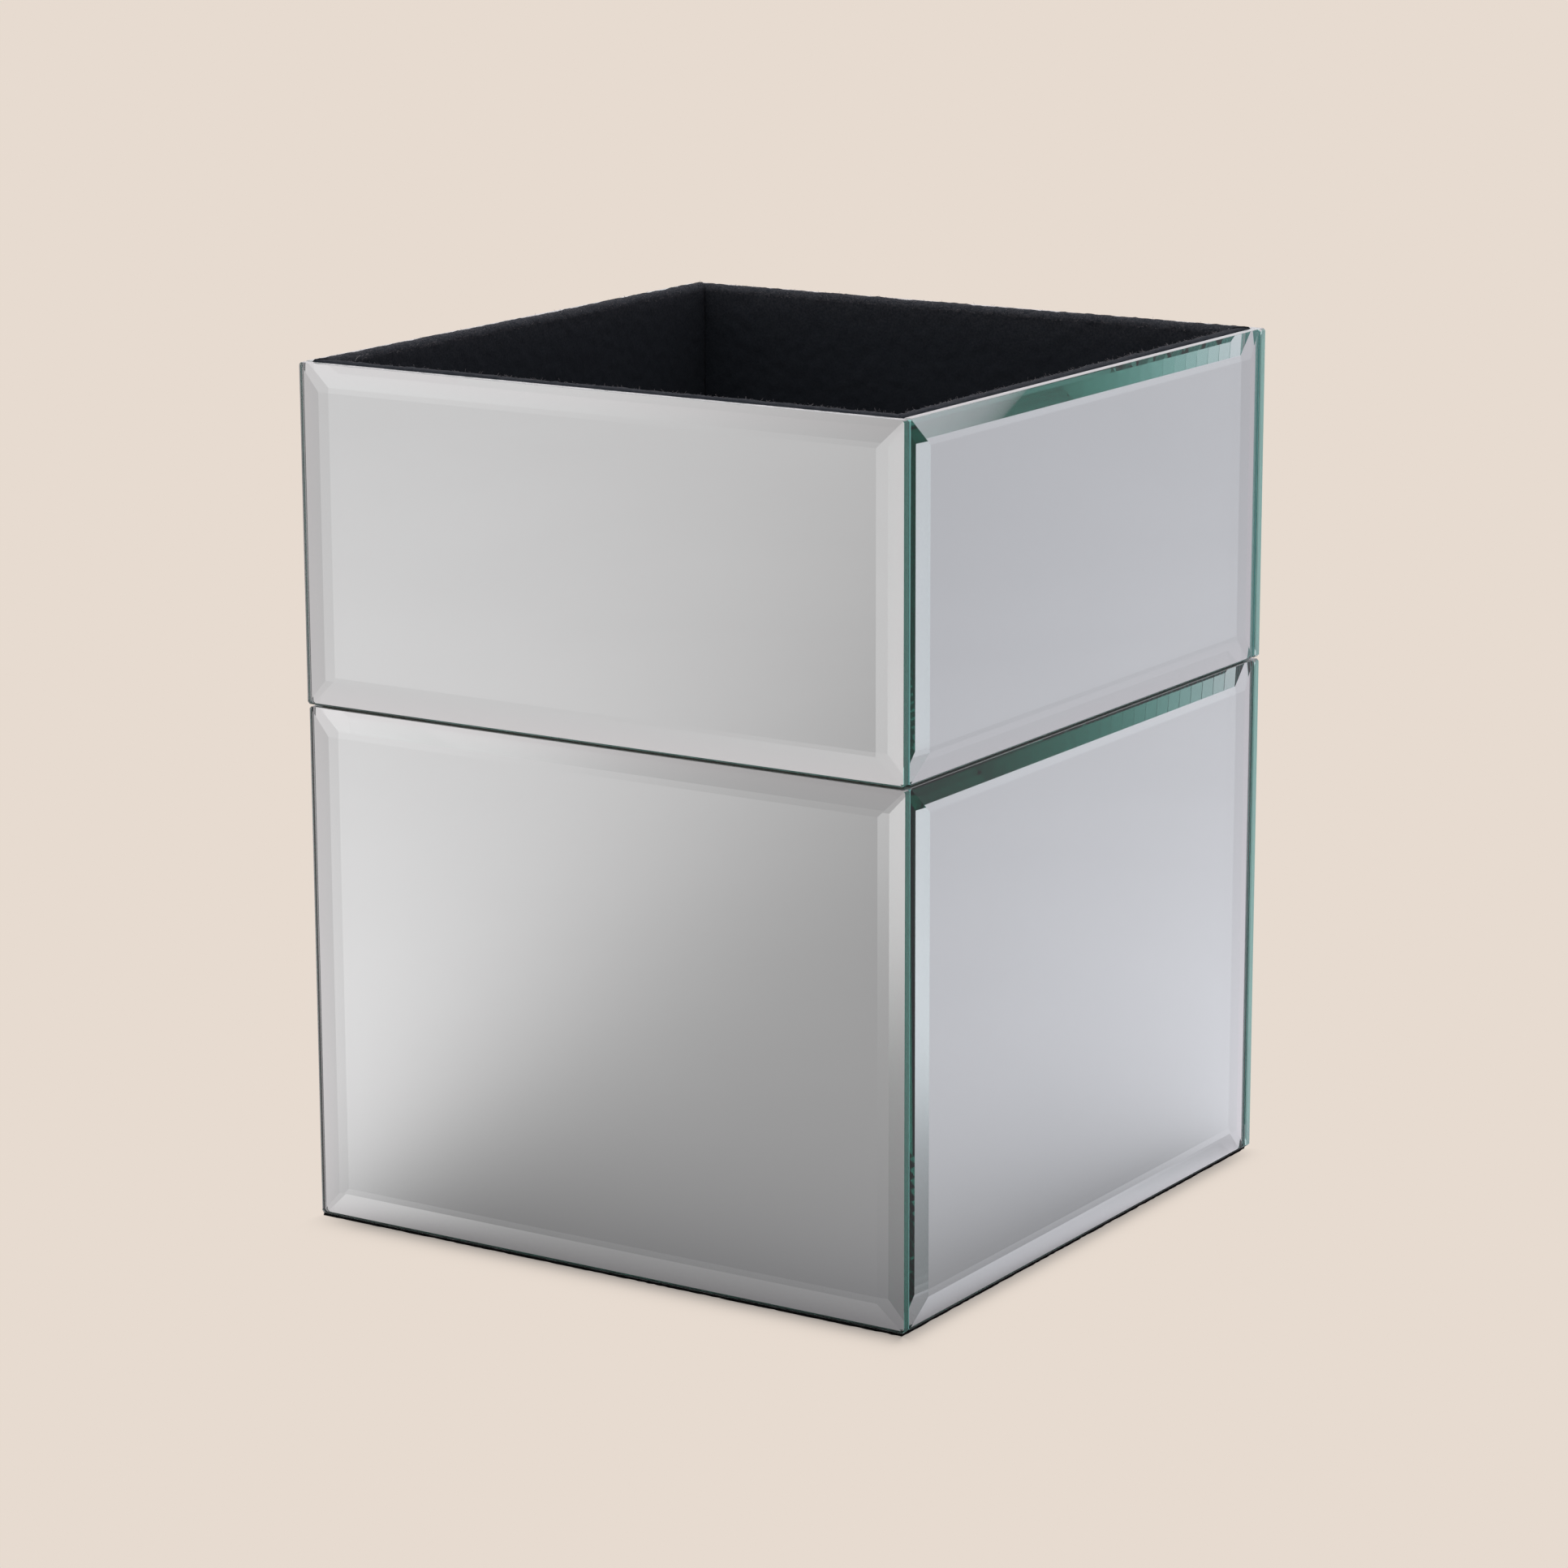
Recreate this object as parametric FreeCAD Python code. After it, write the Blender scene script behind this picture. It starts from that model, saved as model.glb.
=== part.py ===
"""Open-topped square box clad in bevelled mirror panes and lined with felt.

Four thin wall boards and a floor board make a plain box. Each wall carries a tall lower pane
and a short upper pane of bevelled mirror, glued on with flat strips of adhesive. Black felt
lines the inside, folds over the top of each board and stops against the glass. A felt pad
covers the underside.

Frame: millimetres, +Z up, front towards -Y, origin at the centre of the pad's underside.
"""
import FreeCAD
import Part
import os

Vector = FreeCAD.Vector
UP = Vector(0, 0, 1)

# Mirror panes. The front and back panes run the full width and cover the side panes' ends.
FRONT_PANE_WIDTH = 120.0
DEPTH_OVER_EDGES = 121.7     # from the front pane's ground edge to the back pane's
LOWER_PANE_HEIGHT = 91.3
UPPER_PANE_HEIGHT = 59.2
GLASS_THICKNESS = 2.4
GROUND_EDGE = 1.5            # thickness that the bevel leaves at the pane's edge
BEVEL_WIDTH = 4.7
CORNER_DUB = 0.4             # ground off each corner of a pane
ARRIS = 0.2                  # seamed off the sharp back edges
TIER_GAP = 0.4               # between a lower pane and the upper pane above it
END_GAP = 0.2                # between a side pane's end and the pane that covers it

# Layers behind the glass, from the outside in.
SILVERING = 0.1              # silver with its protective paint
ADHESIVE = 0.3
WALL_BOARD = 2.0
FELT = 0.6

# Floor and underside.
PAD_THICKNESS = 0.6
PAD_INSET = 0.3              # from the panes' ground edges to the pad's edge
FLOOR_BOARD = 3.0

# Rim.
BOARD_BELOW_GLASS = 0.3      # the board stops short, so the folded felt stands just proud
LIP_CLEARANCE = 0.05         # between the folded felt and the silvering

# Adhesive strips, upright, the same set behind every pane.
STRIP_COUNT = 3
STRIP_WIDTH = 12.0
STRIP_PITCH = 38.0
STRIP_END_MARGIN = 8.0       # from a strip's end to the pane's edge
STRIP_CORNER = 4.0

# Heights.
PANES_BOTTOM = PAD_THICKNESS
UPPER_PANES_BOTTOM = PANES_BOTTOM + LOWER_PANE_HEIGHT + TIER_GAP
GLASS_TOP = UPPER_PANES_BOTTOM + UPPER_PANE_HEIGHT
BOARD_TOP = GLASS_TOP - BOARD_BELOW_GLASS
FLOOR_TOP = PAD_THICKNESS + FLOOR_BOARD
LINING_BOTTOM = FLOOR_TOP + FELT

# Depths of the layers inwards from the plane of the glass's back.
BOARD_FACE = SILVERING + ADHESIVE
BOARD_BACK = BOARD_FACE + WALL_BOARD
LINING_FACE = BOARD_BACK + FELT
LIP_START = SILVERING + LIP_CLEARANCE

# Distances from the centre to the plane of the glass's back.
SIDE_PLANE = FRONT_PANE_WIDTH / 2 - GROUND_EDGE
FRONT_PLANE = DEPTH_OVER_EDGES / 2 - GROUND_EDGE

SIDE_PANE_WIDTH = 2 * (FRONT_PLANE - END_GAP)

# Wall name: turn about +Z in degrees, its own plane, its neighbours' plane, its pane width.
WALLS = {
    "front": (0, FRONT_PLANE, SIDE_PLANE, FRONT_PANE_WIDTH),
    "right": (90, SIDE_PLANE, FRONT_PLANE, SIDE_PANE_WIDTH),
    "back": (180, FRONT_PLANE, SIDE_PLANE, FRONT_PANE_WIDTH),
    "left": (270, SIDE_PLANE, FRONT_PLANE, SIDE_PANE_WIDTH),
}
# Tier name: bottom and height of its panes.
TIERS = {
    "lower": (PANES_BOTTOM, LOWER_PANE_HEIGHT),
    "upper": (UPPER_PANES_BOTTOM, UPPER_PANE_HEIGHT),
}


def centred_block(half_x, half_y, bottom, top):
    """A block centred on the Z axis."""
    corner = Vector(-half_x, -half_y, bottom)
    return Part.makeBox(2 * half_x, 2 * half_y, top - bottom, corner)


def place_on_wall(shape, wall):
    """Move a shape from wall coordinates to its wall.

    In wall coordinates x runs along the wall, z is up, and y is the depth inwards from the
    plane of the glass's back, so the glass itself has a negative y.
    """
    turn, plane, _, _ = WALLS[wall]
    placed = shape.copy()
    placed.translate(Vector(0, -plane, 0))
    placed.rotate(Vector(0, 0, 0), UP, turn)
    return placed


def upright_rectangle(width, height, inset, y):
    """A closed rectangle facing along Y, drawn in by inset from width by height."""
    half = width / 2 - inset
    corners = [
        Vector(-half, y, inset),
        Vector(half, y, inset),
        Vector(half, y, height - inset),
        Vector(-half, y, height - inset),
    ]
    return Part.makePolygon(corners + corners[:1])


def dubbed_outline(width, height):
    """The pane's outline with its four corners cut off, as a prism through the glass."""
    half = width / 2
    cut = CORNER_DUB
    points = []
    for side_x, side_z, along_x in (
        (-1, 0, True), (1, 0, True), (1, 0, False), (1, 1, False),
        (1, 1, True), (-1, 1, True), (-1, 1, False), (-1, 0, False),
    ):
        x = side_x * (half - cut if along_x else half)
        rise = 0 if along_x else cut
        z = height - rise if side_z else rise
        points.append(Vector(x, 0, z))
    face = Part.Face(Part.makePolygon(points + points[:1]))
    return face.extrude(Vector(0, -GLASS_THICKNESS, 0))


def bevelled_pane(width, height):
    """A pane with a bevel along all four edges of its face, in wall coordinates."""
    slab = Part.makeBox(width, GROUND_EDGE, height, Vector(-width / 2, -GROUND_EDGE, 0))
    foot = upright_rectangle(width, height, 0, -GROUND_EDGE)
    ridge = upright_rectangle(width, height, BEVEL_WIDTH, -GLASS_THICKNESS)
    bevels = Part.makeLoft([foot, ridge], True, True)
    pane = slab.fuse(bevels).removeSplitter().common(dubbed_outline(width, height))
    back_edges = [edge for edge in pane.Edges if edge.BoundBox.YMin > -ARRIS / 2]
    return pane.makeChamfer(ARRIS, back_edges)


def silvering(pane):
    """The reflective coating, a film over the flat back of a pane."""
    back = max(pane.Faces, key=lambda face: face.CenterOfMass.y)
    return back.extrude(Vector(0, SILVERING, 0))


def adhesive_strips(height):
    """Upright strips of mirror adhesive between the silvering and the board."""
    strip_height = height - 2 * STRIP_END_MARGIN
    first_x = -STRIP_PITCH * (STRIP_COUNT - 1) / 2
    strips = []
    for index in range(STRIP_COUNT):
        left = first_x + index * STRIP_PITCH - STRIP_WIDTH / 2
        corner = Vector(left, SILVERING, STRIP_END_MARGIN)
        strip = Part.makeBox(STRIP_WIDTH, ADHESIVE, strip_height, corner)
        through_edges = [edge for edge in strip.Edges if edge.BoundBox.YLength > ADHESIVE / 2]
        strips.append(strip.makeFillet(STRIP_CORNER, through_edges))
    return Part.makeCompound(strips)


def wall_board(wall):
    """A wall board. The front and back boards cover the ends of the side boards."""
    neighbour_plane = WALLS[wall][2]
    covers_ends = wall in ("front", "back")
    half = neighbour_plane - (BOARD_FACE if covers_ends else BOARD_BACK)
    corner = Vector(-half, BOARD_FACE, PAD_THICKNESS)
    return Part.makeBox(2 * half, WALL_BOARD, BOARD_TOP - PAD_THICKNESS, corner)


def wall_lining(wall):
    """Felt on the inside of a wall, folded outwards over its top and mitred at both ends."""
    neighbour_plane = WALLS[wall][2]
    profile = [
        (LIP_START, BOARD_TOP),
        (LIP_START, BOARD_TOP + FELT),
        (LINING_FACE, BOARD_TOP + FELT),
        (LINING_FACE, LINING_BOTTOM),
        (BOARD_BACK, LINING_BOTTOM),
        (BOARD_BACK, BOARD_TOP),
    ]
    half = neighbour_plane - LIP_START
    points = [Vector(-half, y, z) for y, z in profile]
    section = Part.Face(Part.makePolygon(points + points[:1]))
    felt = section.extrude(Vector(2 * half, 0, 0))

    outer = neighbour_plane - LIP_START
    inner = neighbour_plane - LINING_FACE
    plan = [
        Vector(-outer, LIP_START, 0),
        Vector(outer, LIP_START, 0),
        Vector(inner, LINING_FACE, 0),
        Vector(-inner, LINING_FACE, 0),
    ]
    mitres = Part.Face(Part.makePolygon(plan + plan[:1]))
    return felt.common(mitres.extrude(UP * (2 * GLASS_TOP)))


def floor_board():
    """The floor, held inside the four wall boards."""
    half_x = SIDE_PLANE - BOARD_BACK
    half_y = FRONT_PLANE - BOARD_BACK
    return centred_block(half_x, half_y, PAD_THICKNESS, FLOOR_TOP)


def floor_lining():
    """Felt over the whole floor. The wall linings stand on its edges."""
    half_x = SIDE_PLANE - BOARD_BACK
    half_y = FRONT_PLANE - BOARD_BACK
    return centred_block(half_x, half_y, FLOOR_TOP, LINING_BOTTOM)


def base_pad():
    """The felt pad under the boards and the panes, which the box stands on."""
    half_x = FRONT_PANE_WIDTH / 2 - PAD_INSET
    half_y = DEPTH_OVER_EDGES / 2 - PAD_INSET
    return centred_block(half_x, half_y, 0, PAD_THICKNESS)


def mirror_nodes(wall, tier):
    """The glass, silvering and adhesive of one pane, by node name."""
    width = WALLS[wall][3]
    bottom, height = TIERS[tier]
    glass = bevelled_pane(width, height)
    layers = {
        "glass": glass,
        "silvering": silvering(glass),
        "adhesive": adhesive_strips(height),
    }
    nodes = {}
    for layer, shape in layers.items():
        shape.translate(UP * bottom)
        nodes[wall + "_" + tier + "_" + layer] = place_on_wall(shape, wall)
    return nodes


def all_nodes():
    """Every piece of the box, by node name."""
    nodes = {
        "base_pad": base_pad(),
        "floor_board": floor_board(),
        "floor_lining": floor_lining(),
    }
    for wall in WALLS:
        nodes[wall + "_wall_board"] = place_on_wall(wall_board(wall), wall)
        nodes[wall + "_wall_lining"] = place_on_wall(wall_lining(wall), wall)
        for tier in TIERS:
            nodes.update(mirror_nodes(wall, tier))
    return nodes


os.makedirs("parts", exist_ok=True)
for node, shape in all_nodes().items():
    shape.exportStep("parts/" + node + ".step")
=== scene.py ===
import math

import bmesh
import bpy
import numpy as np
from mathutils import Matrix, Vector, noise


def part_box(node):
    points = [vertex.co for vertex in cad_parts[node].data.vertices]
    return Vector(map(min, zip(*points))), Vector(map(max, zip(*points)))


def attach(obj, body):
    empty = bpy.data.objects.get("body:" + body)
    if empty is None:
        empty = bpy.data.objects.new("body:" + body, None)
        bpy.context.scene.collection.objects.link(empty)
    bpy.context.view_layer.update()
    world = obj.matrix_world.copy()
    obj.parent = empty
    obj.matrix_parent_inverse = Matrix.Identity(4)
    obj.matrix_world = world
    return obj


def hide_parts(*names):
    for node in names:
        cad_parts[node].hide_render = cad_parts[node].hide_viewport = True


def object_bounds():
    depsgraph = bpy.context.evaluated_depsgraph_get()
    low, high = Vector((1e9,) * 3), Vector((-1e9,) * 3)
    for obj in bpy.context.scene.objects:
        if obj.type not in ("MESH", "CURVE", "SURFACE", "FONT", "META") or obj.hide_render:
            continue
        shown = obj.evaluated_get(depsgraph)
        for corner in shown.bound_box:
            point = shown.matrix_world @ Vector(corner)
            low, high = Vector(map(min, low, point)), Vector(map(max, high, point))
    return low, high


# Looks of the mirrored box: bevelled glass, felt, boards and a plain studio around them.
#
# Wall coordinates are used for all four walls. "along" runs to the right as the wall is seen
# from outside, "out" is the distance from the box's upright axis, and z is up.

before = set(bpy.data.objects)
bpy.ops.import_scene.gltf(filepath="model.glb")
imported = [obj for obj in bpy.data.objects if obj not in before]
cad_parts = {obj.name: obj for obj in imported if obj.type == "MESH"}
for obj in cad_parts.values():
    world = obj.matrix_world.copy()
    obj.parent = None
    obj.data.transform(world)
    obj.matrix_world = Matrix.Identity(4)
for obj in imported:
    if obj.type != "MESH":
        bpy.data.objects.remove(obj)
cad_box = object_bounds()

MM = 0.001
BODY = "root"
WALL_TURNS = {"front": 0, "right": 90, "back": 180, "left": 270}
TIERS = ("lower", "upper")
NOISE_SPAN = (0.3, 0.7)        # where most of a noise texture's values lie

# Panes
BEVEL_WIDTH = 4.7 * MM
GROUND_EDGE = 1.5 * MM         # thickness that the bevel leaves at the pane's edge
CORNER_DUB = 0.4 * MM          # ground off each corner of a pane
BACK_ARRIS = 0.2 * MM          # seamed off its back edges
FOOT_ARRIS = 0.06 * MM         # between a ground edge and the bevel
FILM_GAP = 0.01 * MM           # keeps the glass's back off the silvering film
GLASS_IOR = 1.52
GLASS_DENSITY = 25.0
GLASS_LOSS = (0.82, 0.28, 0.38)         # red, green and blue lost, in parts of the density
# Looks of a pane's faces: (colour, how matt, painted glow that stands in for light that the glass
# carries along itself).
POLISHED = ((1.0, 1.0, 1.0), 0.0, 0.0)
EDGE_LOOKS = {
    "top": ((0.95, 1.0, 0.98), 0.6, 0.0),
    # Lower edges, at the seam and on the pad: painted shade where they sit between parts.
    "painted_shade": ((0.10, 0.14, 0.13), 0.6, 0.0),
    "dark": ((0.12, 0.12, 0.12), 0.3, 0.0),
    "green": ((0.28, 0.85, 0.72), 0.22, 0.0),
    "pale": ((0.62, 0.95, 0.88), 0.6, 0.03),
    "butted": ((0.50, 0.88, 0.82), 0.9, 0.05),
}
# The looks of each wall's pane ends, low end then high end along the wall.
END_LOOKS = {
    "front": ("dark", "green"),
    "right": ("butted", "butted"),
    "back": ("pale", "green"),
    "left": ("butted", "butted"),
}
EDGE_ROUGHNESS = (0.10, 0.20)
# Colour of the painted glow on the pale and butted ends: light carried along inside the glass.
PAINTED_GLOW_COLOUR = (0.0, 1.0, 0.95)
# How far each pane was glued off its place, along its wall.
PANE_SLIP = {
    "front_lower": 0.30 * MM,
    "front_upper": -0.05 * MM,
    "right_lower": 0.20 * MM,
    "back_lower": -0.40 * MM,
    "back_upper": -0.45 * MM,
}

# Felt
# How much the loose nap adds to the felt's fold over each rim.
RIM_LOFT = {"front": -0.05 * MM, "right": -0.15 * MM, "back": 0.05 * MM, "left": 0.15 * MM}
RIM_NAP_HIGHLIGHT = 0.22                 # how pale the felt is where it folds over the rim: fuzz, and a painted highlight where it catches light
RIM_HIGHLIGHT_DEPTH = 3 * MM         # the painted highlight fades down the inner face over this
FOLD = 1.2 * MM
LIP_DROP = 0.3 * MM            # the felt's outer lip hangs this much below the rim
LIP_CUT = 0.15 * MM
FINE_ZONE = 24 * MM            # below the rim the felt's rows are close together
COARSE_ROW = 6 * MM
FINE_ROW = 0.7 * MM
FOLD_STEPS = 8
LIP_STEPS = 6
LINING_COLUMNS = 200
# Unevenness of the felt's face: (waves per metre, height).
FELT_LUMPS = ((120, 0.12 * MM), (700, 0.16 * MM), (2200, 0.10 * MM))
FIBRES_PER_WALL = 700
FIBRE_RADIUS = 0.02 * MM
FIBRE_LENGTH = (0.25 * MM, 0.8 * MM)
FIBRE_RISE = 0.35              # fibres lie flatter than they stand
FIBRE_BEND = 0.45
# Fibres are paler: their fuzz, and a painted highlight where they catch light.
FIBRE_NAP_HIGHLIGHT = 2.5
FIBRE_SCATTER = 0.2 * MM
FIBRE_STEPS = 4
END_CLEARANCE = 0.5 * MM       # fibres keep this far off the mitres
TUBE_SIDES = 3
LINT_PLACE = -51.0 * MM        # along the front rim
LINT_WAY = (0.1, 0.0, 1.0)
LINT_BEND = (1.5, 0.3, 0.0)
LINT_LENGTH = 1.5 * MM
LINT_RADIUS = 0.045 * MM
LINT_STEPS = 14
# Waves per metre of the flat felt's unevenness, on its face and along its cut edge.
FACE_WAVES = 700
CUT_WAVES = 900

# Camera. Its azimuth is in degrees from the front, turning towards the right wall.
CAMERA_PLACE = (0.45811, -0.71572, 0.2733)
CAMERA_AZIMUTH = 32.725
CAMERA_ELEVATION = 13.236
CAMERA_ROLL = -0.185
CAMERA_LENS = 113.51

# Studio. The camera sees PAPER, darkened by the contact shadow, and the mirrors see a lit room.
# Azimuths are in degrees from +X, turning towards +Y.
PAPER = (0.799, 0.708, 0.631)
DARK_PAPER = (0.12, 0.12, 0.12)
FLOOR_REACH = 6.0
FLOOR_RINGS = 160
FLOOR_GROWTH = 9.0             # how much closer the rings are near the box
FAN_STEPS = 48                 # round each corner of the pad
SIDE_STEPS = 24                # along each side of it
ROOM_LEVEL = 0.606
ROOM_SWING = 0.33              # brighter towards the window and darker away from it
DARKEST_SWING = -0.15          # the room's far walls send some light back
SWING_REACH = 0.2              # the floor's swing sets in over this distance from the box
WINDOW_AZIMUTH = 151.3
CEILING_LOSS = 0.15
POOL_LEVEL = 0.346             # the pool of lamp light on the paper round the box
POOL_REACH = 0.349
SHADOW_DEPTH = 0.806
SHADOW_FAR_SHARE = 0.617
SHADOW_NEAR_REACH = 61 * MM
SHADOW_FADE = 1.6
# The box's shadow spreads between two soft edges: (azimuth, width, growth with distance).
SHADOW_LEFT_EDGE = (-111.4, 17 * MM, 0.155)
SHADOW_RIGHT_EDGE = (-11.8, 1 * MM, 3.46)
CLOUD_DEPTH = 0.012            # faint unevenness of the lit paper, in two sets of waves
CLOUD_WAVES = 14
FINE_CLOUD_WAVES = 40
WARM_PAPER = (1.048, 0.957, 0.975)
COOL_PAPER = (0.978, 0.905, 0.980)
COOL_AZIMUTH = 45.0
COOL_BLEND = 0.1
# Contact shadow at the foot, as the camera sees it.
CONTACT_FRONT = 0.46
CONTACT_RIGHT = 0.38
CONTACT_START = 9 * MM         # it sets in over this length from the sides' far ends
CONTACT_REACH = 1.75 * MM
CONTACT_FRONT_REACH = 1.15 * MM         # further out along the front
CONTACT_FALL = 1.35
CONTACT_UNDER = 0.4            # darker per millimetre under the panes

random_numbers = np.random.default_rng(7)


# ---------------------------------------------------------------- wall coordinates

def wall_turn(wall):
    """The turn about Z that takes the front wall to this wall."""
    return Matrix.Rotation(math.radians(WALL_TURNS[wall]), 4, "Z")


def wall_box(node, wall):
    """A CAD node's limits in wall coordinates: (along), (out) and (z), each low then high."""
    low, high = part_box(node)
    back = wall_turn(wall).inverted()
    a, b = back @ low, back @ high
    return sorted((a.x, b.x)), sorted((-a.y, -b.y)), (low.z, high.z)


def wall_point(along, out, z):
    """A point of the front wall. Other walls are turned into place afterwards."""
    return Vector((along, -out, z))


_, front_glass_out, _ = wall_box("front_lower_glass", "front")
GLASS_THICKNESS = front_glass_out[1] - front_glass_out[0]       # as the CAD has it


def add_piece(name, mesh, materials, replaced=()):
    """Puts a mesh in the scene as a piece that rides on the box."""
    piece = bpy.data.objects.new(name, mesh)
    bpy.context.scene.collection.objects.link(piece)
    for material in materials:
        mesh.materials.append(material)
    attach(piece, BODY)
    if replaced:
        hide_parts(*replaced)
    return piece


# ---------------------------------------------------------------- materials

class Nodes:
    """A node tree with short calls for the nodes used here."""

    def __init__(self, tree):
        self.tree = tree

    def add(self, kind, **settings):
        node = self.tree.nodes.new("ShaderNode" + kind)
        for key, value in settings.items():
            setattr(node, key, value)
        return node

    def link(self, source, target):
        self.tree.links.new(source, target)

    def maths(self, operation, a, b):
        """One arithmetic step. Each input is a socket or a number."""
        node = self.add("Math", operation=operation)
        for socket, value in zip(node.inputs, (a, b)):
            if isinstance(value, (int, float)):
                socket.default_value = value
            else:
                self.link(value, socket)
        return node.outputs["Value"]

    def mix(self, share, first, second):
        """Mixes two colours, each a socket or three numbers."""
        node = self.add("Mix", data_type="RGBA")
        self.link(share, node.inputs["Factor"])
        colours = [s for s in node.inputs if s.type == "RGBA"]
        for socket, value in zip(colours, (first, second)):
            if isinstance(value, tuple):
                socket.default_value = (*value, 1.0)
            else:
                self.link(value, socket)
        return [s for s in node.outputs if s.type == "RGBA"][0]


class MaterialNodes(Nodes):
    """The node tree of a new material, with its main shader."""

    def __init__(self, name):
        self.material = bpy.data.materials.new(name)
        self.material.use_nodes = True
        super().__init__(self.material.node_tree)
        self.shader = self.tree.nodes["Principled BSDF"]
        self.output = self.tree.nodes["Material Output"]

    def attribute(self, name, output):
        return self.add("Attribute", attribute_name=name).outputs[output]

    def noise(self, scale, detail=2.0, roughness=0.5, stretch=None):
        """Noise in object space. Scale is in waves per metre."""
        texture = self.add("TexNoise")
        texture.inputs["Scale"].default_value = scale
        texture.inputs["Detail"].default_value = detail
        texture.inputs["Roughness"].default_value = roughness
        where = self.add("TexCoord").outputs["Object"]
        if stretch is not None:
            mapping = self.add("Mapping")
            mapping.inputs["Scale"].default_value = stretch
            self.link(where, mapping.inputs["Vector"])
            where = mapping.outputs["Vector"]
        self.link(where, texture.inputs["Vector"])
        return texture.outputs["Fac"]

    def range(self, value, limits_in, limits_out):
        """Maps a range of a value to another, clamped. Limits are low then high."""
        mapper = self.add("MapRange")
        self.link(value, mapper.inputs["Value"])
        names = ("From Min", "From Max", "To Min", "To Max")
        for name, number in zip(names, (*limits_in, *limits_out)):
            mapper.inputs[name].default_value = number
        return mapper.outputs["Result"]

    def rough(self, scale, low, high):
        """Roughness that wanders between two values."""
        self.set("Roughness", self.range(self.noise(scale), NOISE_SPAN, (low, high)))

    def bump(self, height, strength, distance):
        node = self.add("Bump")
        node.inputs["Strength"].default_value = strength
        node.inputs["Distance"].default_value = distance
        self.link(height, node.inputs["Height"])
        self.link(node.outputs["Normal"], self.shader.inputs["Normal"])

    def set(self, name, value):
        """Sets one input of the main shader to a number, a colour or a socket."""
        socket = self.shader.inputs[name]
        if isinstance(value, tuple):
            socket.default_value = (*value, 1.0)
        elif isinstance(value, (int, float)):
            socket.default_value = value
        else:
            self.link(value, socket)


def pane_glass():
    """Float glass with polished faces and ground edges, green through its thickness."""
    n = MaterialNodes("pane_glass")
    ground = n.attribute("ground", "Fac")
    n.set("IOR", GLASS_IOR)
    n.set("Base Color", n.attribute("tint", "Color"))
    n.set("Transmission Weight", n.maths("SUBTRACT", 1.0, n.attribute("matt", "Fac")))
    # Painted glow on some ground ends, standing in for light carried along inside the glass.
    n.set("Emission Color", PAINTED_GLOW_COLOUR)
    n.set("Emission Strength", n.attribute("painted_glow", "Fac"))
    grain = n.range(n.noise(400, 3.0), NOISE_SPAN, EDGE_ROUGHNESS)
    n.set("Roughness", n.maths("MULTIPLY", ground, grain))
    absorb = n.add("VolumeAbsorption")
    absorb.inputs["Color"].default_value = (*(1 - loss for loss in GLASS_LOSS), 1.0)
    absorb.inputs["Density"].default_value = GLASS_DENSITY
    n.link(absorb.outputs["Volume"], n.output.inputs["Volume"])
    return n.material


def silver():
    """The silver on the glass's back, seen through the glass."""
    n = MaterialNodes("silver")
    smudges = n.noise(28, 4.0, 0.55, stretch=(1.0, 1.0, 1.6))
    n.set("Metallic", 1.0)
    n.set("Base Color", n.mix(smudges, (0.918, 0.933, 0.930), (0.944, 0.958, 0.955)))
    n.set("Roughness", 0.0)
    return n.material


def backing_paint():
    """Grey protective paint over the silver."""
    n = MaterialNodes("backing_paint")
    n.set("Base Color", n.mix(n.noise(300, 4.0), (0.10, 0.11, 0.115), (0.15, 0.16, 0.165)))
    n.rough(900, 0.45, 0.65)
    n.bump(n.noise(2500), 0.2, 0.02 * MM)
    return n.material


def fibreboard():
    """Raw medium-density fibreboard."""
    n = MaterialNodes("fibreboard")
    flecks = n.noise(1800, 5.0, 0.7, stretch=(1.0, 1.0, 0.35))
    n.set("Base Color", n.mix(flecks, (0.20, 0.12, 0.065), (0.38, 0.26, 0.16)))
    n.rough(600, 0.75, 0.92)
    n.bump(flecks, 0.4, 0.05 * MM)
    return n.material


def mirror_adhesive():
    """Cured off-white mirror adhesive."""
    n = MaterialNodes("mirror_adhesive")
    n.set("Base Color", n.mix(n.noise(200, 3.0), (0.55, 0.53, 0.46), (0.66, 0.64, 0.58)))
    n.rough(400, 0.35, 0.55)
    n.bump(n.noise(700, 3.0), 0.3, 0.05 * MM)
    return n.material


def black_felt(name, dark, light):
    """Short-napped black felt, paler where the attribute nap says: fuzz, and a painted highlight
    where fibres catch light.

    Dark and light are the colours of the ground and of the tufts' tips, the light one partly a
    painted highlight.
    """
    n = MaterialNodes(name)
    nap_and_highlight = n.attribute("nap_and_highlight", "Fac")
    tufts = n.noise(2600, 4.0, 0.75)
    pale_tufts = n.range(tufts, (0.35, 0.75), (0.0, 1.0))
    # Paler tufts on the fold and on the fibres: fuzz, and a painted highlight.
    share = n.maths("MULTIPLY", pale_tufts, n.maths("ADD", nap_and_highlight, 0.04))
    n.set("Base Color", n.mix(share, dark, light))
    n.rough(900, 0.88, 1.0)
    n.set("Specular IOR Level", 0.04)
    n.set("Sheen Weight", 0.06)
    n.set("Sheen Roughness", 0.4)
    n.set("Sheen Tint", (0.62, 0.62, 0.66))
    n.bump(tufts, 0.8, 0.15 * MM)
    return n.material


def lint_fibre():
    """Pale fibres of lint caught on the felt."""
    n = MaterialNodes("lint_fibre")
    n.set("Base Color", n.mix(n.noise(1200), (0.35, 0.35, 0.35), (0.60, 0.60, 0.58)))
    n.set("Roughness", 0.7)
    return n.material


# ---------------------------------------------------------------- panes

def bevel_depth(inset):
    """How far the bevel's surface stands off the pane's back, at this inset from the edge."""
    return GROUND_EDGE + inset * (GLASS_THICKNESS - GROUND_EDGE) / BEVEL_WIDTH


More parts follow.
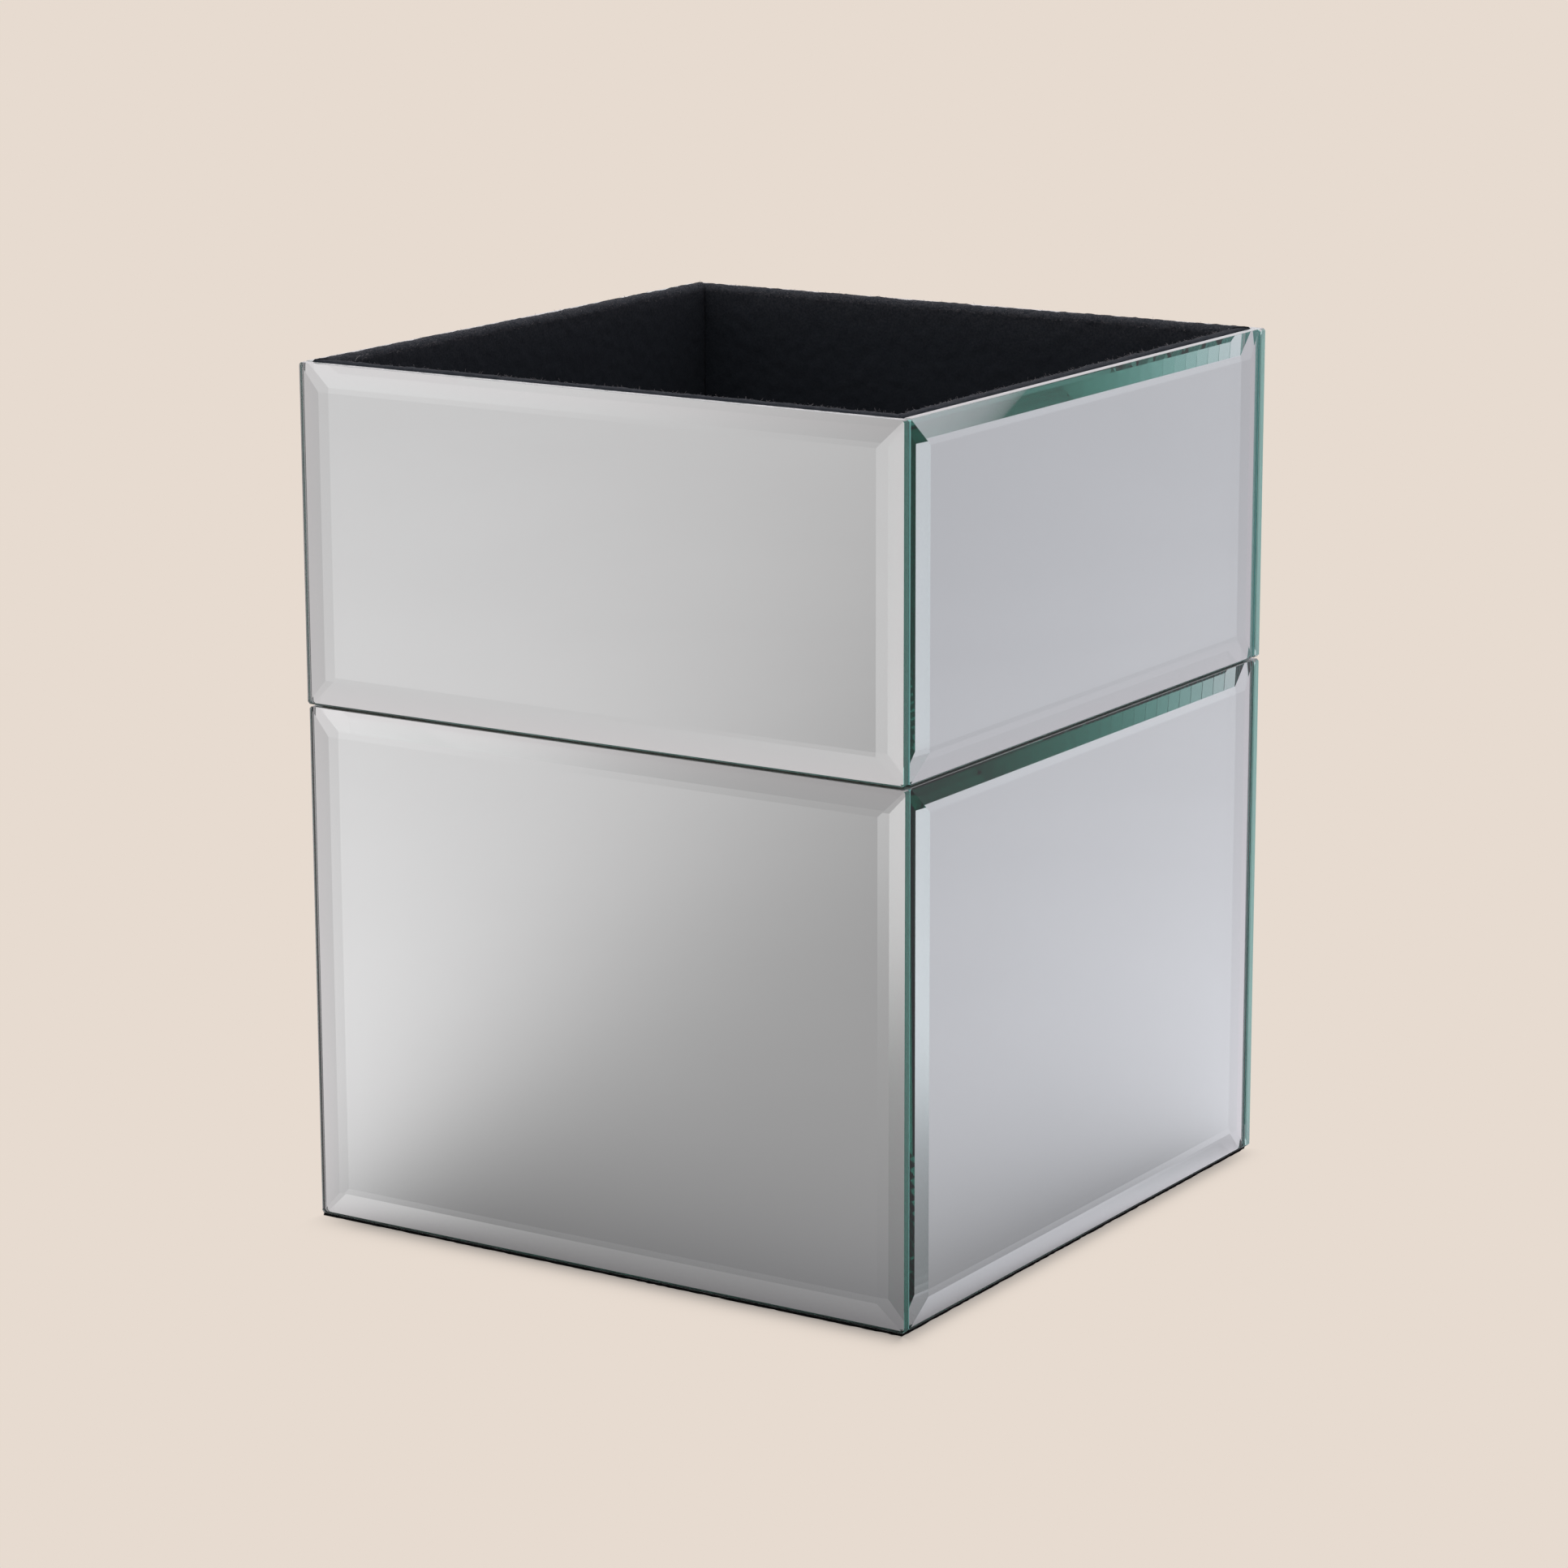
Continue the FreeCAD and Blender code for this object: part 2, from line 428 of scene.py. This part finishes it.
def dubbed_ring(width, height, inset, edge_depth, corner_depth):
    """Twelve points round a pane: at each corner both ends and the middle of the dubbed cut.

    The ring lies inset from the pane's outline. It stands edge_depth off the back, and
    corner_depth at the middle of each cut.
    """
    far = CORNER_DUB + inset * (math.sqrt(2) - 1)
    middle = (CORNER_DUB + inset * math.sqrt(2)) / 2
    points = []
    for corner, (side, top) in enumerate(((-1, 0), (1, 0), (1, 1), (-1, 1))):
        steps = [(inset, far, edge_depth), (middle, middle, corner_depth), (far, inset, edge_depth)]
        if corner % 2:
            steps.reverse()
        for from_side, from_end, depth in steps:
            along = side * (width / 2 - from_side)
            z = height - from_end if top else from_end
            points.append((along, depth, z))
    return points


def pane_mesh(name, width, height, end_looks):
    """A bevelled pane standing on z 0 with its back at out 0, as a closed mesh.

    Material 0 is the glass and material 1 the silver. Face attributes hold the faces' looks,
    and ground is 1 on the ground edges and 0 on the polished faces.
    """
    mid = CORNER_DUB / 2
    rings = [
        dubbed_ring(width, height, BACK_ARRIS, 0.0, 0.0),
        dubbed_ring(width, height, 0.0, BACK_ARRIS, BACK_ARRIS),
        dubbed_ring(width, height, 0.0, GROUND_EDGE - FOOT_ARRIS, bevel_depth(mid) - FOOT_ARRIS),
        dubbed_ring(
            width, height, FOOT_ARRIS, bevel_depth(FOOT_ARRIS),
            bevel_depth(mid + FOOT_ARRIS / math.sqrt(2)),
        ),
    ]
    bm = bmesh.new()
    ground = bm.faces.layers.float.new("ground")
    matt = bm.faces.layers.float.new("matt")
    painted_glow = bm.faces.layers.float.new("painted_glow")
    tint = bm.faces.layers.float_color.new("tint")
    loops = [[bm.verts.new(wall_point(*point)) for point in ring] for ring in rings]
    count = len(loops[0])

    def face(corners, look=None, material=0):
        made = bm.faces.new(corners)
        made.material_index = material
        colour, made[matt], made[painted_glow] = EDGE_LOOKS.get(look, POLISHED)
        made[tint] = (*colour, 1.0)
        made[ground] = 1.0 if look else 0.0

    face(loops[0][::-1], material=1)
    for lower, upper in zip(loops, loops[1:]):
        for i in range(count):
            j = (i + 1) % count
            middle = (lower[i].co + lower[j].co) / 2
            # Lower edges take the painted shade of the seam and the pad.
            look = "top" if middle.z > height / 2 else "painted_shade"
            if abs(middle.x) > (width - CORNER_DUB) / 2:
                look = end_looks[middle.x > 0]
            face((lower[i], lower[j], upper[j], upper[i]), look)
    half = width / 2 - BEVEL_WIDTH
    ridge = [
        bm.verts.new(wall_point(along, GLASS_THICKNESS, z))
        for along, z in (
            (-half, BEVEL_WIDTH), (half, BEVEL_WIDTH),
            (half, height - BEVEL_WIDTH), (-half, height - BEVEL_WIDTH),
        )
    ]
    foot = loops[-1]
    for side in range(4):
        after = (side + 1) % 4
        face(
            (
                foot[3 * side + 1], foot[3 * side + 2], foot[3 * after], foot[3 * after + 1],
                ridge[after], ridge[side],
            )
        )
    face(ridge)
    bmesh.ops.recalc_face_normals(bm, faces=bm.faces)
    mesh = bpy.data.meshes.new(name)
    bm.to_mesh(mesh)
    bm.free()
    return mesh


def build_pane(wall, tier, materials):
    """One pane, in place of its CAD glass."""
    node = wall + "_" + tier + "_glass"
    along, out, z = wall_box(node, wall)
    name = wall + "_" + tier + "_pane"
    mesh = pane_mesh(name, along[1] - along[0], z[1] - z[0], END_LOOKS[wall])
    centre = (along[0] + along[1]) / 2 + PANE_SLIP.get(wall + "_" + tier, 0.0)
    slide = Matrix.Translation(wall_point(centre, out[0] + FILM_GAP, z[0]))
    mesh.transform(wall_turn(wall) @ slide)
    return add_piece(name, mesh, materials, [node])


# ---------------------------------------------------------------- felt

def shaken(point, normal, amounts):
    """The point moved along its normal by noise. Amounts are (waves per metre, height) pairs."""
    shift = sum(noise.noise(point * waves) * height for waves, height in amounts)
    return point + normal * shift


def lining_profile(wall):
    """The felt's section on one wall: (out, z, nap, loose) round a closed loop.

    The nap column is how pale and fuzzy the surface is, partly a painted highlight on the fold over
    the rim, and loose says how far noise may move it.
    """
    _, felt_out, felt_z = wall_box(wall + "_wall_lining", wall)
    _, board_out, board_z = wall_box(wall + "_wall_board", wall)
    face, lip = felt_out
    bottom, top = felt_z[0], felt_z[1] + RIM_LOFT[wall]
    loop = []
    z = bottom
    while z < top - FINE_ZONE:
        loop.append((face, z, 0.0, 1.0))
        z += COARSE_ROW
    while z < top - FOLD:
        # Painted highlight below the rim, fading down the inner face.
        loop.append((face, z, RIM_NAP_HIGHLIGHT * math.exp((z - top) / RIM_HIGHLIGHT_DEPTH), 1.0))
        z += FINE_ROW
    for step in range(FOLD_STEPS + 1):
        angle = math.pi / 2 * step / FOLD_STEPS
        out = face + FOLD * (1 - math.cos(angle))
        loop.append((out, top - FOLD * (1 - math.sin(angle)), RIM_NAP_HIGHLIGHT, 1.0))
    for step in range(1, LIP_STEPS):
        share = step / LIP_STEPS
        out = face + FOLD + share * (lip - face - FOLD)
        loop.append((out, top - share ** 4 * LIP_DROP, RIM_NAP_HIGHLIGHT * (1.0 - share), 1.0))
    loop.append((lip, top - LIP_DROP - LIP_CUT, 0.0, 0.5))
    loop.append((lip, board_z[1], 0.0, 0.0))
    loop.append((board_out[0], board_z[1], 0.0, 0.0))
    loop.append((board_out[0], bottom, 0.0, 0.0))
    return loop


def lining_mesh(name, wall):
    """The felt of one wall with mitred ends, and its loose fibres, all closed shapes."""
    profile = lining_profile(wall)
    neighbour = "right" if wall in ("front", "back") else "front"
    _, own_out, _ = wall_box(wall + "_wall_lining", wall)
    _, neighbour_out, _ = wall_box(neighbour + "_wall_lining", neighbour)
    overhang = neighbour_out[1] - own_out[1]
    count = len(profile)
    vertices, naps_and_highlights = [], []
    for column in range(LINING_COLUMNS + 1):
        share = 2 * column / LINING_COLUMNS - 1
        for i, (out, z, nap_and_highlight, loose) in enumerate(profile):
            before, after = profile[i - 1], profile[(i + 1) % count]
            tangent = Vector((after[0] - before[0], after[1] - before[1]))
            normal = Vector((0, -tangent.y, -tangent.x)).normalized() if tangent.length else Vector()
            point = wall_point(share * (out + overhang), out, z)
            vertices.append(shaken(point, -normal * loose, FELT_LUMPS))
            naps_and_highlights.append(nap_and_highlight)
    faces = []
    for column in range(LINING_COLUMNS):
        for i in range(count):
            j = (i + 1) % count
            a, b = column * count, (column + 1) * count
            faces.append((a + i, a + j, b + j, b + i))
    faces.append(tuple(range(count)))
    faces.append(tuple(LINING_COLUMNS * count + i for i in range(count))[::-1])
    rim = [(out, z) for out, z, nap_and_highlight, _ in profile if nap_and_highlight == RIM_NAP_HIGHLIGHT]
    add_fibres(vertices, faces, naps_and_highlights, rim, overhang)
    mesh = bpy.data.meshes.new(name)
    mesh.from_pydata([tuple(v) for v in vertices], [], faces)
    attribute = mesh.attributes.new("nap_and_highlight", "FLOAT", "POINT")
    attribute.data.foreach_set("value", np.array(naps_and_highlights, np.float32))
    bm = bmesh.new()
    bm.from_mesh(mesh)
    bmesh.ops.recalc_face_normals(bm, faces=bm.faces)
    bm.to_mesh(mesh)
    bm.free()
    for polygon in mesh.polygons:
        polygon.use_smooth = len(polygon.vertices) == 4
    return mesh


def add_fibres(vertices, faces, naps_and_highlights, rim, overhang):
    """Adds short curved fibres that stand and lie on the fold of the felt."""
    for _ in range(FIBRES_PER_WALL):
        out, z = rim[random_numbers.integers(len(rim))]
        along = random_numbers.uniform(-1, 1) * (out + overhang - END_CLEARANCE)
        out += random_numbers.uniform(-FIBRE_SCATTER, FIBRE_SCATTER)
        way = Vector(random_numbers.normal(size=3))
        way.z = abs(way.z) * FIBRE_RISE
        bend = Vector(random_numbers.normal(size=3)) * FIBRE_BEND
        length = random_numbers.uniform(*FIBRE_LENGTH)
        root = wall_point(along, out, z)
        add_tube(vertices, faces, root, way.normalized(), bend, length, FIBRE_RADIUS, FIBRE_STEPS)
        # Fibres take a paler colour: fuzz, and a painted highlight.
        naps_and_highlights.extend([FIBRE_NAP_HIGHLIGHT] * (len(vertices) - len(naps_and_highlights)))


def add_tube(vertices, faces, root, way, bend, length, radius, steps):
    """Adds a thin closed tube that bends as it goes."""
    point = root.copy()
    start = len(vertices)
    for step in range(steps + 1):
        side = way.orthogonal().normalized()
        other = way.cross(side).normalized()
        for corner in range(TUBE_SIDES):
            angle = 2 * math.pi * corner / TUBE_SIDES
            vertices.append(point + (side * math.cos(angle) + other * math.sin(angle)) * radius)
        way = (way + bend / steps).normalized()
        point = point + way * (length / steps)
    for step in range(steps):
        for corner in range(TUBE_SIDES):
            a = start + TUBE_SIDES * step
            b = a + TUBE_SIDES
            following = (corner + 1) % TUBE_SIDES
            faces.append((a + corner, a + following, b + following, b + corner))
    faces.append(tuple(range(start, start + TUBE_SIDES))[::-1])
    faces.append(tuple(range(len(vertices) - TUBE_SIDES, len(vertices))))


def build_lint():
    """One curled hair of lint caught on the front rim near its left end."""
    _, felt_out, felt_z = wall_box("front_wall_lining", "front")
    root = wall_point(LINT_PLACE, felt_out[0] + FOLD / 2, felt_z[1])
    vertices, faces = [], []
    way, bend = Vector(LINT_WAY), Vector(LINT_BEND)
    add_tube(vertices, faces, root, way, bend, LINT_LENGTH, LINT_RADIUS, LINT_STEPS)
    mesh = bpy.data.meshes.new("rim_lint")
    mesh.from_pydata([tuple(v) for v in vertices], [], faces)
    add_piece("rim_lint", mesh, [lint_fibre()])


def felt_slab(name, low, high, step, roughen, edge_wander):
    """A closed felt sheet with a lightly uneven face and a softly wandering cut edge."""
    size = high - low
    across = max(2, round(size.x / step))
    deep = max(2, round(size.y / step))
    vertices, faces = [], []
    for level in (0, 1):
        for j in range(deep + 1):
            for i in range(across + 1):
                x = low.x + size.x * i / across
                y = low.y + size.y * j / deep
                z = high.z if level else low.z
                edge_x = (i == across) - (i == 0)
                edge_y = (j == deep) - (j == 0)
                wander = abs(noise.noise(Vector((x, y, level)) * CUT_WAVES)) * edge_wander
                x -= edge_x * wander
                y -= edge_y * wander
                if level and not (edge_x or edge_y):
                    z += noise.noise(Vector((x, y, 0)) * FACE_WAVES) * roughen
                vertices.append((x, y, z))
    row = across + 1
    layer = row * (deep + 1)
    for j in range(deep):
        for i in range(across):
            a = j * row + i
            faces.append((a, a + row, a + row + 1, a + 1))
            faces.append((layer + a, layer + a + 1, layer + a + row + 1, layer + a + row))
    border = list(range(row))
    border += [j * row + across for j in range(1, deep + 1)]
    border += [deep * row + i for i in range(across - 1, -1, -1)]
    border += [j * row for j in range(deep - 1, 0, -1)]
    for a, b in zip(border, border[1:] + border[:1]):
        faces.append((a, b, layer + b, layer + a))
    mesh = bpy.data.meshes.new(name)
    mesh.from_pydata(vertices, [], faces)
    attribute = mesh.attributes.new("nap_and_highlight", "FLOAT", "POINT")
    attribute.data.foreach_set("value", np.zeros(len(vertices), np.float32))
    return mesh


def build_felt():
    """All the felt: four wall linings, the floor lining and the base pad."""
    lining = black_felt("lining_felt", (0.026, 0.033, 0.041), (0.32, 0.31, 0.32))
    pad = black_felt("pad_felt", (0.006, 0.006, 0.006), (0.03, 0.03, 0.03))
    for wall in WALL_TURNS:
        name = wall + "_felt_lining"
        mesh = lining_mesh(name, wall)
        mesh.transform(wall_turn(wall))
        add_piece(name, mesh, [lining], [wall + "_wall_lining"])
    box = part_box("floor_lining")
    mesh = felt_slab("felt_floor", *box, step=1.5 * MM, roughen=0.08 * MM, edge_wander=0.0)
    add_piece("felt_floor", mesh, [lining], ["floor_lining"])
    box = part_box("base_pad")
    mesh = felt_slab("felt_base_pad", *box, step=1.0 * MM, roughen=0.0, edge_wander=0.3 * MM)
    add_piece("felt_base_pad", mesh, [pad], ["base_pad"])


# ---------------------------------------------------------------- studio

def side_of_edge(x, y, corner, edge, side):
    """0 to 1 across the soft edge of a shadow that leaves a corner of the box.

    Side is 1 if the shade lies to the left of the azimuth, and -1 if it lies to the right. With
    side -1 the edge runs along X behind the corner, so that no wedge of shade lies there.
    """
    azimuth, width, growth = edge
    direction_x = math.cos(math.radians(azimuth))
    direction_y = math.sin(math.radians(azimuth))
    ahead = (x - corner[0]) * direction_x + (y - corner[1]) * direction_y
    beside = (y - corner[1]) * direction_x
    if side > 0 or x > corner[0]:
        beside -= (x - corner[0]) * direction_y
    return 0.5 * (1 + math.tanh(side * beside / (width + growth * max(ahead, 0.0))))


def mirrored_floor(x, y, away):
    """Colour of the floor as the mirrors see it, with the box's soft shadow."""
    half_x, half_y = cad_box[1].x, cad_box[1].y
    turned = math.atan2(y, x) - math.radians(WINDOW_AZIMUTH)
    swing = max(ROOM_SWING * math.cos(turned), DARKEST_SWING)
    swing *= 1 - math.exp(-away / SWING_REACH)
    light = ROOM_LEVEL + swing + POOL_LEVEL * math.exp(-away / POOL_REACH)
    left_edge = side_of_edge(x, y, (-half_x, -half_y), SHADOW_LEFT_EDGE, 1)
    right_edge = side_of_edge(x, y, (half_x, half_y), SHADOW_RIGHT_EDGE, -1)
    far = SHADOW_FAR_SHARE * math.exp(-(away / SHADOW_FADE) ** 2)
    near = (1 - SHADOW_FAR_SHARE) * math.exp(-away / SHADOW_NEAR_REACH)
    level = light * (1 - SHADOW_DEPTH * (far + near) * left_edge * right_edge)
    cloud = noise.noise(Vector((x, y, 0)) * CLOUD_WAVES)
    cloud += 0.5 * noise.noise(Vector((x, y, 3)) * FINE_CLOUD_WAVES)
    level *= 1 + CLOUD_DEPTH * cloud
    cool = 0.5 + 0.5 * math.tanh((x + y) / COOL_BLEND)
    return tuple(level * (w + (c - w) * cool) for w, c in zip(WARM_PAPER, COOL_PAPER))


def seen_paper(x, y, away, azimuth):
    """Colour of the paper to the camera, with the thin contact shadow at the box's foot.

    The shadow lies along the front and right sides and fades towards their far corners.
    """
    front = max(0.0, -math.sin(azimuth))
    right = max(0.0, math.cos(azimuth))
    along_front = min(1.0, max(0.0, (x + cad_box[1].x) / CONTACT_START))
    along_right = min(1.0, max(0.0, (cad_box[1].y - y) / CONTACT_START))
    strength = CONTACT_FRONT * front ** 3 * along_front + CONTACT_RIGHT * right ** 3 * along_right
    reach = CONTACT_REACH + CONTACT_FRONT_REACH * front
    under = max(0.0, -away / MM)
    lost = strength * math.exp(-(max(0.0, away) / reach) ** CONTACT_FALL)
    lost *= 1 + CONTACT_UNDER * under
    return tuple(paper + (dark - paper) * lost for paper, dark in zip(PAPER, DARK_PAPER))


def foot_outline():
    """Points round the box's pad, each with the azimuth in which the floor spreads from it."""
    _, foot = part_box("base_pad")
    half_x, half_y = foot.x, foot.y
    corners = [(half_x, half_y), (-half_x, half_y), (-half_x, -half_y), (half_x, -half_y)]
    outline = []
    for index, corner in enumerate(corners):
        following = corners[(index + 1) % 4]
        for step in range(FAN_STEPS + 1):
            outline.append((corner, math.pi / 2 * (index + step / FAN_STEPS)))
        for step in range(1, SIDE_STEPS):
            share = step / SIDE_STEPS
            point = tuple(a + (b - a) * share for a, b in zip(corner, following))
            outline.append((point, math.pi / 2 * (index + 1)))
    return outline


def floor_mesh():
    """Rings that keep their distance from the box's foot, close together near it."""
    pad_inset = cad_box[1].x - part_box("base_pad")[1].x
    outline = foot_outline()
    spokes = len(outline)
    vertices, faces = [], []
    mirrored, paper = [], []
    for ring in range(FLOOR_RINGS):
        share = math.expm1(FLOOR_GROWTH * ring / (FLOOR_RINGS - 1)) / math.expm1(FLOOR_GROWTH)
        away = FLOOR_REACH * share
        for point, azimuth in outline:
            x = point[0] + away * math.cos(azimuth)
            y = point[1] + away * math.sin(azimuth)
            vertices.append((x, y, 0.0))
            clear_of_box = away - pad_inset
            mirrored.append(mirrored_floor(x, y, max(0.0, clear_of_box)))
            paper.append(seen_paper(x, y, clear_of_box, azimuth))
    for ring in range(FLOOR_RINGS - 1):
        for spoke in range(spokes):
            a, b = ring * spokes + spoke, ring * spokes + (spoke + 1) % spokes
            faces.append((a, a + spokes, b + spokes, b))
    faces.append(tuple(range(spokes)))
    mesh = bpy.data.meshes.new("studio_floor")
    mesh.from_pydata(vertices, [], faces)
    for name, colours in (("mirrored", mirrored), ("paper", paper)):
        attribute = mesh.color_attributes.new(name, "FLOAT_COLOR", "POINT")
        flat = [channel for colour in colours for channel in (*colour, 1.0)]
        attribute.data.foreach_set("color", flat)
    return mesh


def floor_material():
    """Pale paper to the camera, and the lit studio floor to everything that reflects it."""
    n = MaterialNodes("studio_floor")
    n.tree.nodes.remove(n.shader)
    seen = n.add("LightPath").outputs["Is Camera Ray"]
    mirrored = n.attribute("mirrored", "Color")
    paper = n.attribute("paper", "Color")
    painted_glow = n.add("Emission")
    n.link(n.mix(seen, mirrored, paper), painted_glow.inputs["Color"])
    n.link(painted_glow.outputs["Emission"], n.output.inputs["Surface"])
    n.material.cycles.emission_sampling = "NONE"
    return n.material


def build_floor():
    mesh = floor_mesh()
    floor = bpy.data.objects.new("studio_floor", mesh)
    bpy.context.scene.collection.objects.link(floor)
    mesh.materials.append(floor_material())


def build_world():
    """A soft white room, with the paper's colour behind the object for the camera."""
    world = bpy.data.worlds.new("studio")
    bpy.context.scene.world = world
    world.use_nodes = True
    n = Nodes(world.node_tree)
    way = n.add("TexCoord").outputs["Generated"]

    def towards(azimuth):
        """How far the way looks towards an azimuth: 1 straight at it, -1 straight away."""
        node = n.add("VectorMath", operation="DOT_PRODUCT")
        n.link(way, node.inputs[0])
        angle = math.radians(azimuth)
        node.inputs[1].default_value = (math.cos(angle), math.sin(angle), 0.0)
        return node.outputs["Value"]

    split = n.add("SeparateXYZ")
    n.link(way, split.inputs["Vector"])
    rise = n.maths("MAXIMUM", split.outputs["Z"], 0.0)
    swing = n.maths("MULTIPLY", towards(WINDOW_AZIMUTH), ROOM_SWING)
    swing = n.maths("MAXIMUM", swing, DARKEST_SWING)
    walls = n.maths("ADD", swing, ROOM_LEVEL)
    level = n.maths("SUBTRACT", walls, n.maths("MULTIPLY", rise, CEILING_LOSS))
    cool = n.maths("ADD", n.maths("MULTIPLY", towards(COOL_AZIMUTH), 0.5), 0.5)
    room = n.mix(cool, WARM_PAPER, COOL_PAPER)
    seen = n.add("LightPath").outputs["Is Camera Ray"]
    unseen = n.maths("SUBTRACT", 1.0, seen)
    strength = n.maths("ADD", seen, n.maths("MULTIPLY", unseen, level))
    background = n.tree.nodes["Background"]
    n.link(n.mix(seen, room, PAPER), background.inputs["Color"])
    n.link(strength, background.inputs["Strength"])


def softbox(name, place, target, size, power):
    """A square area light that lights matt surfaces and isn't mirrored anywhere."""
    light = bpy.data.lights.new(name, "AREA")
    light.size = size
    light.energy = power
    lamp = bpy.data.objects.new(name, light)
    lamp.location = place
    lamp.rotation_euler = (Vector(target) - Vector(place)).to_track_quat("-Z", "Y").to_euler()
    lamp.visible_camera = False
    lamp.visible_glossy = False
    lamp.visible_transmission = False
    bpy.context.scene.collection.objects.link(lamp)


def build_lights():
    softbox("back_light", place=(-0.75, 1.0, 0.5), target=(0, 0, 0.1), size=0.8, power=5.0)
    softbox("top_light", place=(0.0, 0.0, 1.3), target=(0, 0, 0), size=0.9, power=4.0)


def build_camera():
    azimuth = math.radians(CAMERA_AZIMUTH)
    elevation = math.radians(CAMERA_ELEVATION)
    back = Vector((
        math.sin(azimuth) * math.cos(elevation),
        -math.cos(azimuth) * math.cos(elevation),
        math.sin(elevation),
    ))
    right = Vector((math.cos(azimuth), math.sin(azimuth), 0.0))
    upright = Matrix((right, back.cross(right), back)).transposed().to_4x4()
    data = bpy.data.cameras.new("camera")
    data.lens = CAMERA_LENS
    data.clip_start = 0.01
    camera = bpy.data.objects.new("camera", data)
    roll = Matrix.Rotation(math.radians(CAMERA_ROLL), 4, "Z")
    camera.matrix_world = Matrix.Translation(CAMERA_PLACE) @ upright @ roll
    bpy.context.scene.collection.objects.link(camera)
    bpy.context.scene.camera = camera


def set_light_paths():
    """Standard colours, and long light paths, as light runs far along inside each pane."""
    scene = bpy.context.scene
    scene.view_settings.view_transform = "Standard"
    scene.cycles.max_bounces = 64
    scene.cycles.glossy_bounces = 64
    scene.cycles.transmission_bounces = 32
    scene.cycles.diffuse_bounces = 3


# ---------------------------------------------------------------- assembly

def paint_cad_nodes():
    """Materials for the CAD nodes that are shown as they are."""
    paint, board, glue = backing_paint(), fibreboard(), mirror_adhesive()
    for name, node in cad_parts.items():
        for ending, material in (("_silvering", paint), ("board", board), ("_adhesive", glue)):
            if name.endswith(ending):
                node.data.materials.clear()
                node.data.materials.append(material)


glass_and_silver = (pane_glass(), silver())
for wall in WALL_TURNS:
    for tier in TIERS:
        build_pane(wall, tier, glass_and_silver)
build_felt()
build_lint()
paint_cad_nodes()
build_floor()
build_world()
build_lights()
build_camera()
set_light_paths()
